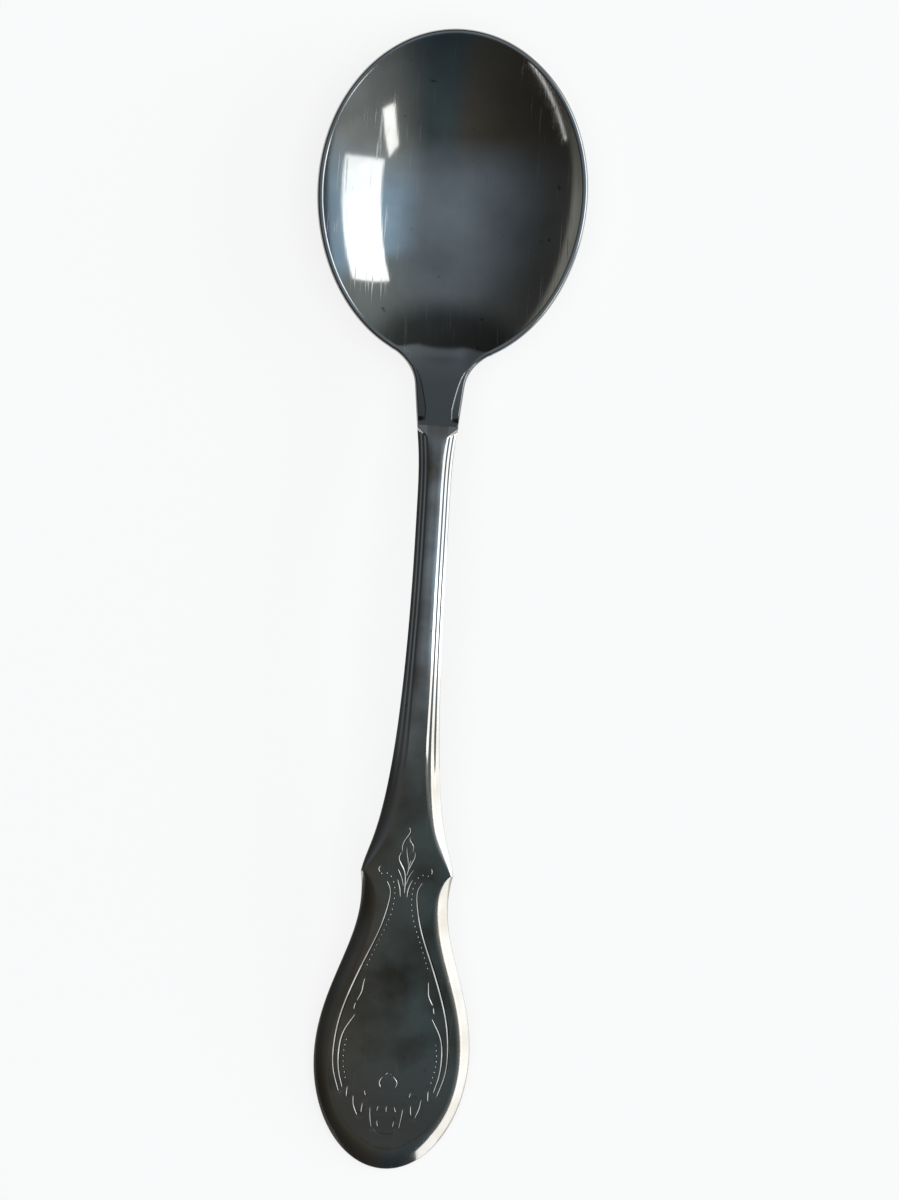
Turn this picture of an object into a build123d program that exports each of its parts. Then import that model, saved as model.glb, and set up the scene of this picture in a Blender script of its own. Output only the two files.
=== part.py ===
"""A soup spoon in three pieces: the bowl with its shank, the handle, and the solder of the neck joint.

Millimetres. X is across the spoon, +Y runs from the end of the handle to the tip of the bowl,
+Z is up and the bowl is open upward. The spoon lies on the belly of its bowl and on the end of
its handle, and the origin is under the middle of its length.
"""

import os
from math import cos, radians, sin

from build123d import *

# Whole spoon
overall_length = 180.0

# Bowl: two half ellipses in plan that share the widest line
bowl_width = 42.6
bowl_front = 25.5
bowl_back = 27.4
bowl_height = 10.5
bowl_floor = 1.3
rim_width = 1.4
belly_share = 0.20
bowl_steepness = 2.4
bowl_levels = 6

# Shank: leaves the bowl in two hollow shoulders and narrows to the joint
shoulder_angle = 66.0
shoulder_reach = 3.6
neck_reach = 2.4
neck_half_width = 3.85
neck_from_tip = 56.8
joint_half_width = 3.25
joint_from_tip = 62.6
shank_thickness = 1.6
web_past_lap = 5.0
web_edge = 0.15

# Lap joint under the shank
lap_length = 9.6
lap_depth_at_bowl = 1.5
solder_film = 0.10
solder_shrink = 0.20
tongue_half_width = 3.0
tongue_end_thickness = 0.7
tongue_root = 2.0

# Stem and its flare to the pointed shoulder
stem_half_width = 2.56
collar_length = 11.4
collar_reach = 6.8
flare_from_joint = 18.4
flare_bend_above_shoulder = 5.9
shoulder_half_width = 7.27
shoulder_from_end = 47.0
shoulder_lead = 5.9
shoulder_lean = 8.9

# Pear end
waist_half_width = 6.86
waist_from_end = 42.9
waist_reach = 7.9
pear_half_width = 12.26
pear_from_end = 18.0
pear_reach = 10.0

# Side view: heights of the top face and thicknesses under it
neck_foot_from_tip = 50.3
joint_height = 13.1
crest_from_tip = 92.0
crest_height = 17.8
shoulder_height = 12.3
pear_height = 5.0
end_height = 2.35
joint_thickness = 3.4
crest_thickness = 3.2
shoulder_thickness = 2.7
pear_thickness = 2.4
rest_length = 3.0
end_slope = 0.10

# Border: the rim of the handle lies lower than its middle panel
border_width = 1.55
border_drop = 0.7
collar_panel = 3.4
border_edge = 0.45
panel_edge = 0.45

# Places along Y that follow from the sizes
tip_y = overall_length / 2
end_y = -overall_length / 2
bowl_y = tip_y - bowl_front
neck_y = tip_y - neck_from_tip
joint_y = tip_y - joint_from_tip
handle_top_y = joint_y - solder_film
lap_end_y = joint_y + lap_length
neck_foot_y = tip_y - neck_foot_from_tip
crest_y = tip_y - crest_from_tip
flare_y = joint_y - flare_from_joint
shoulder_y = end_y + shoulder_from_end
waist_y = end_y + waist_from_end
pear_y = end_y + pear_from_end
lap_joint_z = joint_height - shank_thickness
lap_end_z = bowl_height - lap_depth_at_bowl

# Blanks taller than the spoon, and the plane that side views are drawn on
blank_height = 2 * crest_height
side_plane = Plane.YZ.offset(-bowl_width / 2)
square_limit = 0.95


def draw_bowl_outline(share, shrink):
    """Draws the egg outline of the bowl, drawn in by shrink and then taken to a share of its size."""
    across = (bowl_width / 2 - shrink) * share
    front = (bowl_front - shrink) * share
    back = (bowl_back - shrink) * share
    EllipticalCenterArc((0, bowl_y), across, front, 0, arc_size=180)
    EllipticalCenterArc((0, bowl_y), across, back, 180, arc_size=180)


def make_cup(shrink, floor, levels):
    """Lofts a solid cup: its wall climbs from a flat belly by a power of the share of the outline."""
    with BuildPart() as cup:
        for level in range(levels + 1):
            climb = level / bowl_levels
            share = belly_share + (1 - belly_share) * climb
            height = floor + (bowl_height - floor) * climb**bowl_steepness
            with BuildSketch(Plane.XY.offset(height)):
                with BuildLine():
                    draw_bowl_outline(share, shrink)
                make_face()
        loft()
    return cup.part


def shank_plan():
    """Draws the plan of the shank: from the bowl's outline by two hollow shoulders to the joint."""
    angle = radians(shoulder_angle)
    start = Vector(bowl_width / 2 * cos(angle), bowl_y - bowl_back * sin(angle))
    along_bowl = Vector(-bowl_width / 2 * sin(angle), -bowl_back * cos(angle)).normalized()
    neck = Vector(neck_half_width, neck_y)
    joint = Vector(joint_half_width, joint_y)
    along_neck = (neck - joint).normalized()
    with BuildSketch(Plane.XY) as plan:
        with BuildLine():
            Bezier(start, start + along_bowl * shoulder_reach, neck + along_neck * neck_reach, neck)
            Line(neck, joint)
            Line(joint, (0, joint_y))
            Line(start, (0, start.Y))
            mirror(about=Plane.YZ)
        make_face()
    return plan.sketch


def handle_plan(inset):
    """Draws the plan of the handle from the joint to the pear end, every half width less the inset."""
    lean = radians(shoulder_lean)
    joint = Vector(joint_half_width - inset, handle_top_y)
    stem_top = Vector(stem_half_width - inset, handle_top_y - collar_length)
    flare = Vector(stem_half_width - inset, flare_y)
    shoulder = Vector(shoulder_half_width - inset, shoulder_y)
    waist = Vector(waist_half_width - inset, waist_y)
    pear = Vector(pear_half_width - inset, pear_y)
    collar_bend = Vector((joint.X + stem_top.X) / 2, handle_top_y - collar_length / 4)
    with BuildSketch(Plane.XY) as plan:
        with BuildLine():
            Line((0, handle_top_y), joint)
            Bezier(joint, collar_bend, stem_top + Vector(0, collar_reach), stem_top)
            Line(stem_top, flare)
            Bezier(
                flare,
                (flare.X, shoulder_y + flare_bend_above_shoulder),
                shoulder + Vector(-sin(lean), cos(lean)) * shoulder_lead,
                shoulder,
            )
            Bezier(shoulder, (waist.X, (shoulder.Y + waist.Y) / 2), waist)
            Bezier(waist, waist - Vector(0, waist_reach), pear + Vector(0, pear_reach), pear)
            EllipticalCenterArc((0, pear_y), pear.X, pear_from_end - inset, 0, arc_size=-90)
            mirror(about=Plane.YZ)
        make_face()
    return plan.sketch


def lap_plan(half_width, start_y):
    """Draws the plan of the lap: straight sides from start_y and a round end under the bowl's heel."""
    bend_y = lap_end_y - half_width
    with BuildSketch(Plane.XY) as plan:
        with BuildLine():
            Line((-half_width, start_y), (half_width, start_y))
            Line((half_width, start_y), (half_width, bend_y))
            CenterArc((0, bend_y), half_width, 0, arc_size=180)
            Line((-half_width, bend_y), (-half_width, start_y))
        make_face()
    return plan.sketch


def draw_top_line(drop):
    """Draws the top face in side view, from the bowl's rim over the crest to the end of the handle."""
    return Spline(
        (neck_foot_y, bowl_height - drop),
        (joint_y, joint_height - drop),
        (crest_y, crest_height - drop),
        (shoulder_y, shoulder_height - drop),
        (pear_y, pear_height - drop),
        (end_y, end_height - drop),
        tangents=((-1, 0), (-1, -end_slope)),
    )


def draw_back_line():
    """Draws the back face in side view, from the end of the tongue to the flat that rests at the end."""
    rest_y = end_y + rest_length
    back = Spline(
        (lap_end_y, lap_end_z - solder_film - tongue_end_thickness),
        (joint_y, joint_height - joint_thickness),
        (crest_y, crest_height - crest_thickness),
        (shoulder_y, shoulder_height - shoulder_thickness),
        (pear_y, pear_height - pear_thickness),
        (rest_y, 0),
        tangents=((-1, (joint_height - bowl_height) / lap_length), (-1, 0)),
    )
    Line(back @ 1, (end_y, 0))
    return back


def runs_along_outline(edge):
    """Tells the long edges of a slab from those that stand up or cross it square."""
    along = edge.tangent_at(0.5)
    return max(abs(along.X), abs(along.Z)) < square_limit


def make_slab(plan, drop, edge_break):
    """Raises a plan of the handle, cuts it to the side view with the top lowered, and breaks its edges."""
    with BuildPart() as slab:
        extrude(plan, amount=blank_height)
        with BuildSketch(side_plane):
            with BuildLine():
                top = draw_top_line(drop)
                back = draw_back_line()
                Line(top @ 0, back @ 0)
                Line(top @ 1, (end_y, 0))
            make_face()
        extrude(amount=bowl_width, mode=Mode.INTERSECT)
        if edge_break > 0:
            chamfer(slab.edges().filter_by(runs_along_outline), length=edge_break)
    return slab.part


# Bowl with its shank
cup = make_cup(0, 0, bowl_levels)
hollow = make_cup(rim_width, bowl_floor, bowl_levels + 1)
with BuildPart() as bowl:
    extrude(shank_plan(), amount=blank_height)
    with BuildSketch(side_plane):
        with BuildLine():
            top = draw_top_line(0)
            web_end = Vector(lap_end_y + web_past_lap, bowl_height)
            Line(top @ 0, web_end)
            Polyline(
                web_end,
                web_end - Vector(0, web_edge),
                (lap_end_y, lap_end_z),
                (joint_y, lap_joint_z),
                (joint_y, 0),
                (end_y, 0),
                top @ 1,
            )
        make_face()
    extrude(amount=bowl_width, mode=Mode.INTERSECT)
    add(cup)
    add(hollow, mode=Mode.SUBTRACT)
bowl.part.label = "bowl"

# Handle: a plate with a lower border, a raised middle panel, a collar at the joint and the tongue
plate = make_slab(handle_plan(0), border_drop, border_edge)
panel = make_slab(handle_plan(border_width), 0, panel_edge)
full_slab = make_slab(handle_plan(0), 0, 0)
lap_slab = make_slab(lap_plan(tongue_half_width, handle_top_y - tongue_root), 0, 0)
with BuildPart() as collar:
    add(full_slab)
    split(bisect_by=Plane.XZ.offset(collar_panel - handle_top_y), keep=Keep.BOTTOM)
with BuildPart() as tongue:
    add(lap_slab)
    with BuildSketch(side_plane):
        with BuildLine():
            Polyline(
                (handle_top_y, lap_joint_z - solder_film),
                (joint_y, lap_joint_z - solder_film),
                (lap_end_y, lap_end_z - solder_film),
                (lap_end_y, blank_height),
                (handle_top_y, blank_height),
                close=True,
            )
        make_face()
    extrude(amount=bowl_width, mode=Mode.SUBTRACT)
with BuildPart() as handle:
    add(plate)
    add(panel)
    add(collar.part)
    add(tongue.part)
handle.part.label = "handle"

# Solder: the film under the shank and the film at its end, both drawn in a little from the sides
with BuildPart() as neck_solder:
    extrude(lap_plan(tongue_half_width - solder_shrink, handle_top_y), amount=blank_height)
    with BuildSketch(side_plane):
        with BuildLine():
            Polyline(
                (lap_end_y, lap_end_z),
                (joint_y, lap_joint_z),
                (joint_y, joint_height - solder_shrink),
                (handle_top_y, joint_height - solder_shrink),
                (handle_top_y, lap_joint_z - solder_film),
                (joint_y, lap_joint_z - solder_film),
                (lap_end_y, lap_end_z - solder_film),
                close=True,
            )
        make_face()
    extrude(amount=bowl_width, mode=Mode.INTERSECT)
neck_solder.part.label = "neck_solder"

os.makedirs("parts", exist_ok=True)
export_step(bowl.part, "parts/bowl.step")
export_step(handle.part, "parts/handle.step")
export_step(neck_solder.part, "parts/neck_solder.step")
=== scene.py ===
# %% [markdown]
# # A soup spoon, dressed for its portrait
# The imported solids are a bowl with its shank, a handle and the solder between. This lesson keeps
# their frame and sizes, and adds rim, threads, ornament and the finishes of old silver plate. It
# works in millimetres and turns to metres when a mesh is written.

import bmesh
import bpy
import numpy as np
from mathutils import Matrix, Quaternion, Vector
from mathutils.geometry import delaunay_2d_cdt


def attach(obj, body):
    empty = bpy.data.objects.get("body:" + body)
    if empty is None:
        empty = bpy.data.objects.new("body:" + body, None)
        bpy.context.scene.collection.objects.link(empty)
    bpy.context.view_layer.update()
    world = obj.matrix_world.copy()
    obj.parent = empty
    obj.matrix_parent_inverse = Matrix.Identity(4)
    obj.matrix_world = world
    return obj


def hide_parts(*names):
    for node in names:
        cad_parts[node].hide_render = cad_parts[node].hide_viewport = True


MM = 0.001
scene = bpy.context.scene
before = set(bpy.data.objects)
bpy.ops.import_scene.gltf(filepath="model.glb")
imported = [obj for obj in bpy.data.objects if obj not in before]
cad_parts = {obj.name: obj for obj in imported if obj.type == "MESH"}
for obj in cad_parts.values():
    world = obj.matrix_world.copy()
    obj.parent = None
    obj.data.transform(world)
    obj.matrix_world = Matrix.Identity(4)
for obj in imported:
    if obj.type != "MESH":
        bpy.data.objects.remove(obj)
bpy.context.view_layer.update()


def rounded(*values):
    """Measures to a hundredth, for printing."""
    return [round(float(value), 2) for value in values]


# %% [markdown]
# ## Lines to draw with
# A Bezier curve blends between control points and gives the outlines. A clamped spline passes
# through measured places with given end slopes. Blender's curve objects could do both, but the
# points are needed as arrays here.

# %% Curves and directions
# Keeps divisions safe
TINY = 1e-6


def bezier(points, count):
    """Bezier curve: straight blends between neighbours, repeated until one point is left."""
    t = np.linspace(0, 1, count)[:, None]
    blend = [np.array(point, float) + 0 * t for point in points]
    while len(blend) > 1:
        blend = [a + (b - a) * t for a, b in zip(blend, blend[1:])]
    return blend[0]


def clamped_spline(places, heights, first_slope, last_slope):
    """Cubic through every place, with slopes that make the bending equal on both sides."""
    places, heights = np.array(places, float), np.array(heights, float)
    step = np.diff(places)
    rise = np.diff(heights) / step
    count = len(places)
    matrix = np.eye(count)
    target = np.zeros(count)
    target[0], target[-1] = first_slope, last_slope
    inner = np.arange(1, count - 1)
    matrix[inner, inner - 1] = 1 / step[:-1]
    matrix[inner, inner] = 2 / step[:-1] + 2 / step[1:]
    matrix[inner, inner + 1] = 1 / step[1:]
    target[inner] = 3 * (rise[:-1] / step[:-1] + rise[1:] / step[1:])
    slopes = np.linalg.solve(matrix, target)

    def height(at):
        """Hermite blend of the two places around each value."""
        at = np.clip(at, places[0], places[-1])
        k = np.clip(np.searchsorted(places, at) - 1, 0, count - 2)
        t = (at - places[k]) / step[k]
        start = heights[k] * (1 + 2 * t) * (1 - t) ** 2 + slopes[k] * step[k] * t * (1 - t) ** 2
        finish = heights[k + 1] * t**2 * (3 - 2 * t) - slopes[k + 1] * step[k] * t**2 * (1 - t)
        return start + finish

    return height


def ease(value, start, finish):
    """Smooth step: 0 at start, 1 at finish, level at both; start may be the larger."""
    t = np.clip((value - start) / (finish - start), 0.0, 1.0)
    return t * t * (3 - 2 * t)


def length(vectors):
    """Length of each vector."""
    return np.linalg.norm(vectors, axis=-1)


def unit(vectors):
    """The same directions with length one, or none."""
    return vectors / np.maximum(length(vectors)[..., None], TINY)


print("halfway up a smooth step:", ease(0.5, 0.0, 1.0))

# %% [markdown]
# ## The side view
# A spoon rests on its bowl and on the end of its handle, and the stem arches between. A flat mesh
# could be bent to the arch, but two splines that give any surface its height at y are simpler.

# %% Side view
# Places along the spoon, from handle to bowl
END_Y, REST_Y, PEAR_Y, CUSP_Y, CREST_Y = -90.0, -87.0, -72.0, -43.0, -2.0
JOINT_Y, NECK_Y, LAP_END_Y, NECK_FOOT_Y, BOWL_Y = 27.4, 33.2, 37.0, 39.7, 64.5
# Heights at six of these places, and the slope at one end
TOP_HEIGHTS, END_SLOPE = (2.35, 5.0, 12.3, 17.8, 13.1, 10.5), 0.10
BACK_HEIGHTS, LAP_SLOPE = (0.0, 2.6, 9.6, 14.6, 9.7, 8.2), -0.27
ARCH = (PEAR_Y, CUSP_Y, CREST_Y, JOINT_Y)

top_line = clamped_spline((END_Y, *ARCH, NECK_FOOT_Y), TOP_HEIGHTS, END_SLOPE, 0.0)
back_line = clamped_spline((REST_Y, *ARCH, LAP_END_Y), BACK_HEIGHTS, 0.0, LAP_SLOPE)
print("height of crest and neck in mm:", rounded(top_line(CREST_Y), top_line(NECK_Y)))

# %% [markdown]
# ## Putting a surface into a mesh
# Each piece is one or more grids of points, and four neighbours make a face. Points on one place,
# at poles and seams, are welded. Smooth shading gives the mirror, and steep edges stay sharp, as
# on the threads.

# %% Grid and mesh helpers
# Points nearer than this, in metres, become one.
WELD = 2e-6


def grid_faces(index, wrap):
    """Quads between neighbouring rows and columns of an array of point numbers."""
    across = np.hstack([index, index[:, :1]]) if wrap else index
    corners = (across[:-1, :-1], across[:-1, 1:], across[1:, 1:], across[1:, :-1])
    return np.stack(corners, axis=-1).reshape(-1, 4)


def make_piece(name, points, faces, finishes, sharp_angle):
    """Writes points in mm and faces with their finish numbers, welds, turns outwards, shades."""
    mesh = bpy.data.meshes.new(name)
    mesh.from_pydata((points * MM).tolist(), [], faces)
    mesh.polygons.foreach_set("material_index", finishes)
    work = bmesh.new()
    work.from_mesh(mesh)
    bmesh.ops.remove_doubles(work, verts=work.verts, dist=WELD)
    bmesh.ops.dissolve_degenerate(work, edges=work.edges, dist=WELD)
    bmesh.ops.recalc_face_normals(work, faces=work.faces)
    open_edges = sum(1 for edge in work.edges if not edge.is_manifold)
    work.to_mesh(mesh)
    work.free()
    mesh.shade_smooth()
    mesh.set_sharp_from_angle(angle=sharp_angle)
    piece = bpy.data.objects.new(name, mesh)
    scene.collection.objects.link(piece)
    print(name, len(mesh.polygons), "faces,", open_edges, "open edges")
    return piece


print("points closer than", WELD / MM, "mm are welded")

# %% [markdown]
# ## The outline of the bowl
# From above the bowl is an egg of two half ellipses. At the heel it leaves the egg in two hollow
# shoulders and narrows to the neck. Half of the line is enough: the other half is its mirror.

# %% Bowl outline
BOWL_HALF, BOWL_FRONT, BOWL_BACK = 21.3, 25.5, 27.4
SHOULDER_ANGLE = np.radians(66.0)
SHOULDER_REACH, NECK_REACH = 3.6, 2.4
NECK_HALF, JOINT_HALF = 3.85, 3.25
FRONT_POINTS, BACK_POINTS, SHOULDER_POINTS = 76, 64, 34


def bowl_side():
    """Right half: two quarter ellipses, then a hollow shoulder down to the neck."""
    front = np.radians(np.linspace(90.0, 0.0, FRONT_POINTS))
    back = np.linspace(0.0, -SHOULDER_ANGLE, BACK_POINTS)[1:]
    angle = np.hstack([front, back])
    reach = np.where(np.arange(len(angle)) < FRONT_POINTS, BOWL_FRONT, BOWL_BACK)
    egg = np.stack([BOWL_HALF * np.cos(angle), BOWL_Y + reach * np.sin(angle)], axis=-1)
    heading = [-BOWL_HALF * np.sin(SHOULDER_ANGLE), -BOWL_BACK * np.cos(SHOULDER_ANGLE)]
    neck = np.array([NECK_HALF, NECK_Y])
    shoulder_bend = egg[-1] + unit(np.array(heading)) * SHOULDER_REACH
    neck_bend = neck + unit(neck - (JOINT_HALF, JOINT_Y)) * NECK_REACH
    return np.vstack([egg, bezier((egg[-1], shoulder_bend, neck_bend, neck), SHOULDER_POINTS)[1:]])


def outward(line):
    """Unit normals of a line in plan, to the left of its direction."""
    along = np.gradient(line, axis=0)
    return unit(np.stack([-along[:, 1], along[:, 0]], axis=-1))


side = bowl_side()
side_normal = outward(side)
side_normal[0], side_normal[-1] = (0.0, 1.0), (1.0, 0.0)
print("bowl outline:", len(side), "points on each side")

# %% [markdown]
# ## The edges of the neck
# The rounding of the rim runs on along the shank, and inside it the neck's edges are filed to
# facets. A bevel would stop where the bowl's grid ends, so both are functions of the place.

# %% Edge and facet of the neck
RIM_RUN, SHANK_EDGE, JOINT_EDGE = 0.93, 0.40, 0.16
SHANK_FROM_Y, JOINT_EDGE_FROM_Y, JOINT_EDGE_TO_Y = 38.0, 30.0, 27.8
# Points of the outline from the shoulder to the neck
SHOULDER_TAIL = 40
FACET_WIDTH, FACET_SLOPE, FACET_STEP, FACET_STEP_RUN = 1.15, 0.20, 0.08, 0.16
FACET_WIDEST_Y, FACET_SWELL = 29.0, 0.6
FACET_TOP_Y, FACET_FULL_Y, FACET_OPEN_Y, FACET_CLOSED_Y = 37.6, 35.6, 28.9, 27.9


def edge_run(y):
    """Reach of the rounded edge in from the outline: rim, shank, joint."""
    shank_run = RIM_RUN + (SHANK_EDGE - RIM_RUN) * ease(y, SHANK_FROM_Y, NECK_Y)
    return shank_run + (JOINT_EDGE - SHANK_EDGE) * ease(y, JOINT_EDGE_FROM_Y, JOINT_EDGE_TO_Y)


def half_width(y):
    """Half the width of shoulders and shank, off the outline."""
    line = np.vstack([side[-SHOULDER_TAIL:], (JOINT_HALF, JOINT_Y)])[::-1]
    return np.interp(y, line[:, 1], line[:, 0])


def facet_fall(x, y):
    """Filed facet along each edge of the neck: a small step, then a gentle slope."""
    width = FACET_WIDTH * ease(y, SHANK_FROM_Y, FACET_WIDEST_Y) ** FACET_SWELL
    into = np.maximum(np.abs(x) - (half_width(y) - edge_run(y) - width), 0.0)
    strength = ease(y, FACET_TOP_Y, FACET_FULL_Y) * ease(y, FACET_CLOSED_Y, FACET_OPEN_Y)
    return strength * (FACET_STEP * ease(into, 0.0, FACET_STEP_RUN) + FACET_SLOPE * into)


print("width of the neck in mm:", rounded(2 * half_width(NECK_Y)))

# %% [markdown]
# ## The inside of the bowl
# The bowl is pressed from sheet. A turned profile would fit a round ladle, but an egg needs a
# height over its plan: a square of the share of the outline for the floor, some of a higher
# power for the wall, and a smooth minimum into the flat neck.

# %% Inside of the bowl
FLOOR_Z, RIM_Z = 1.3, 10.34
BELLY_SHARE, WALL_POWER = 0.80, 3.1
HEEL_BLEND, HEEL_FROM_Y, HEEL_OUTER, HEEL_INNER = 2.8, 44.0, 8.0, 3.0
# Half the stretch over which a slope is measured
PROBE = 0.02


def inside_height(x, y):
    """Floor plus a flat and a steep power of the share of the outline, flowing into the neck."""
    reach = np.where(y > BOWL_Y, BOWL_FRONT, BOWL_BACK) - RIM_RUN
    share = np.hypot(x / (BOWL_HALF - RIM_RUN), (y - BOWL_Y) / reach)
    climb = BELLY_SHARE * share**2 + (1 - BELLY_SHARE) * share**WALL_POWER
    cup = FLOOR_Z + (RIM_Z - FLOOR_Z) * climb
    neck = top_line(y)
    at_heel = ease(y, HEEL_FROM_Y, SHANK_FROM_Y) * ease(np.abs(x), HEEL_OUTER, HEEL_INNER)
    blend = HEEL_BLEND * at_heel + TINY
    part = np.clip(0.5 + 0.5 * (neck - cup) / blend, 0.0, 1.0)
    smooth = neck * (1 - part) + cup * part - blend * part * (1 - part)
    return smooth - facet_fall(x, y)


def slope_of(surface, x, y):
    """Central differences of a height field, across and along."""
    across = (surface(x + PROBE, y) - surface(x - PROBE, y)) / (2 * PROBE)
    along = (surface(x, y + PROBE) - surface(x, y - PROBE)) / (2 * PROBE)
    return across, along


print("inside depth in mm:", rounded(top_line(NECK_FOOT_Y) - inside_height(0.0, BOWL_Y)))

# %% [markdown]
# ## The rim and the outside
# The outside is the inside moved along its normal. Solidify could do that, but not thin the wall
# to the rim or turn it upright at the neck. So rays run from the middle of the floor to the
# mouth: the outline less the rim, closed by a cut across the neck.

# %% Mouth of the bowl
WALL_FLOOR, WALL_RIM = 1.3, 1.1
CUT_COLUMNS, CUT_CROWDING = 81, 0.8
FLIP = np.array([-1.0, 1.0])


def around(right, across, flip=1.0):
    """A quantity round the mouth: right side, cut, mirrored left side."""
    return np.concatenate([right, across, (right * flip)[:0:-1]])


neck_ness = ease(side[:, 1], SHANK_FROM_Y, NECK_Y)
rim_half = WALL_RIM / 2
rim_inset = edge_run(side[:, 1])
inner_side = side - side_normal * rim_inset[:, None]
cut_share = np.linspace(1.0, -1.0, CUT_COLUMNS)
cut_x = np.sign(cut_share) * np.abs(cut_share) ** CUT_CROWDING * inner_side[-1, 0]
cut = np.stack([cut_x, np.full(CUT_COLUMNS, NECK_Y)], axis=-1)[1:-1]
mouth = around(inner_side, cut, FLIP)
mouth_normal = around(side_normal, 0 * cut, FLIP)
mouth_bulge = around(rim_half + (SHANK_EDGE - rim_half) * neck_ness, np.zeros(len(cut)))
mouth_bowl_ness = around(1 - neck_ness, np.zeros(len(cut)))
print("rim inset in mm, at neck and tip:", rounded(rim_inset[-1], rim_inset[0]))

# %% Wall under the inside
LAP_JOINT_Z, LAP_END_Z = 11.5, 9.0
WALL_TURN_Y = 40.0
UP = np.array([0.0, 0.0, 1.0])


def lap_line(y):
    """Underside of the shank: the straight slope of the lap joint."""
    return LAP_JOINT_Z + (LAP_END_Z - LAP_JOINT_Z) * (y - JOINT_Y) / (LAP_END_Y - JOINT_Y)


def wall(x, y):
    """The sheet under each inside point, as a vector; upright towards the neck."""
    across, along = slope_of(lambda u, v: inside_height(u, v) + facet_fall(u, v), x, y)
    normal = unit(np.stack([-across, -along, np.ones_like(x)], axis=-1))
    neck_part = ease(y, WALL_TURN_Y, NECK_Y)[..., None]
    normal = unit(normal * (1 - neck_part) + UP * neck_part)
    share = np.clip(np.hypot(x / BOWL_HALF, (y - BOWL_Y) / BOWL_BACK), 0.0, 1.0)
    sheet = WALL_FLOOR + (WALL_RIM - WALL_FLOOR) * share
    shank_thick = top_line(NECK_Y) - lap_line(NECK_Y)
    thick = sheet + (shank_thick - sheet) * neck_part[..., 0]
    return normal * thick[..., None] - UP * facet_fall(x, y)[..., None]


print("thickness of the shank in mm:", rounded(top_line(NECK_Y) - lap_line(NECK_Y)))

# %% Bowl rays and rim
INSIDE_ROWS, OUTSIDE_ROWS, RIM_ROWS = 80, 60, 11
floor_middle = np.array([0.0, BOWL_Y])
rim_turn = np.linspace(0.0, np.pi, RIM_ROWS + 2)[1:-1]


def rays(rows):
    """Points from the middle of the floor to the mouth, closer near the rim."""
    reach = np.sin(np.linspace(0.0, np.pi / 2, rows))
    spots = floor_middle + (mouth - floor_middle)[None, :, :] * reach[:, None, None]
    return spots[..., 0], spots[..., 1]


def lifted(x, y):
    """Places in plan with the height of the inside added."""
    return np.stack([x, y, inside_height(x, y)], axis=-1)


inside = lifted(*rays(INSIDE_ROWS))
under_x, under_y = rays(OUTSIDE_ROWS)
outside = (lifted(under_x, under_y) - wall(under_x, under_y))[::-1]
mouth_slope = np.stack(slope_of(inside_height, mouth[:, 0], mouth[:, 1]), axis=-1)
climb = np.sum(mouth_slope * mouth_normal, axis=1) * mouth_bowl_ness
uphill = unit(np.hstack([mouth_normal, climb[:, None]]))
rim_middle, rim_reach = (inside[-1] + outside[0]) / 2, (inside[-1] - outside[0]) / 2
rim = rim_middle + rim_reach * np.cos(rim_turn)[:, None, None]
rim = rim + uphill * mouth_bulge[:, None] * np.sin(rim_turn)[:, None, None]
print("rim top and lowest place in mm:", rounded(rim[..., 2].max(), outside[..., 2].min()))

# %% [markdown]
# ## The shank
# The sheet goes on as a flat shank, the upper half of the neck joint. A box would not meet the
# bowl's edge, so it is a tube of closed loops: top, edge, underside, edge.

# %% Shank loops
SHANK_ROWS = 60


def shank_loop(y):
    """One loop per y: flat top with facets, elliptical edges, and the lap slope below."""
    run = edge_run(y)
    top_x = cut_x / inner_side[-1, 0] * (half_width(y) - run)[:, None]
    rows = np.repeat(y[:, None], CUT_COLUMNS, axis=1)
    top = lifted(top_x, rows)
    low = np.stack([top_x, rows, lap_line(rows)], axis=-1)

    def edge(column, direction):
        """Half ellipse from top to underside at one end of the row."""
        middle, reach = (top[:, column] + low[:, column]) / 2, (top[:, column] - low[:, column]) / 2
        swell = run[:, None, None] * np.array([direction, 0.0, 0.0])
        arc = middle[:, None] + reach[:, None] * np.cos(rim_turn)[:, None]
        return arc + swell * np.sin(rim_turn)[:, None]

    right, left = edge(0, 1.0), edge(-1, -1.0)
    return np.hstack([top[:, ::-1], right, low, left[:, ::-1]])


shank = shank_loop(np.linspace(NECK_Y, JOINT_Y, SHANK_ROWS))
shank_end = np.repeat(shank[-1:].mean(axis=1, keepdims=True), shank.shape[1], axis=1)
shank = np.vstack([shank, shank_end])
print("shank loops:", shank.shape[0], "of", shank.shape[1], "points")

# %% Bowl mesh
BOWL_SHARP = np.radians(24.0)

surfaces = [inside, rim, outside, shank]
starts = np.cumsum([0] + [surface.shape[0] * surface.shape[1] for surface in surfaces])
spans = zip(starts, starts[1:], surfaces)
number = [np.arange(first, last).reshape(surface.shape[:2]) for first, last, surface in spans]
rim_rows = np.vstack([number[0][-1:], number[1], number[2][:1]])
left_columns = np.r_[len(side) + CUT_COLUMNS - 2 : len(mouth), 0]
rim_strips = [grid_faces(rim_rows[:, : len(side)], False), grid_faces(rim_rows[:, left_columns], False)]
closed_grids = [grid_faces(number[2], True), grid_faces(number[3], True)]
bowl_faces = np.vstack([grid_faces(number[0], True), *rim_strips, *closed_grids])
bowl_points = np.vstack([surface.reshape(-1, 3) for surface in surfaces])
one_finish = np.zeros(len(bowl_faces), int)
bowl = make_piece("bowl_shell", bowl_points, bowl_faces.tolist(), one_finish, BOWL_SHARP)

# %% [markdown]
# ## The outline of the handle
# The handle is struck between dies. A subdivided mesh would round away its one sharp step, the
# cusp, so the outline is walked stretch by stretch and each point starts a row. Near the end the
# rows fan out, so that they never cross.

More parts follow.
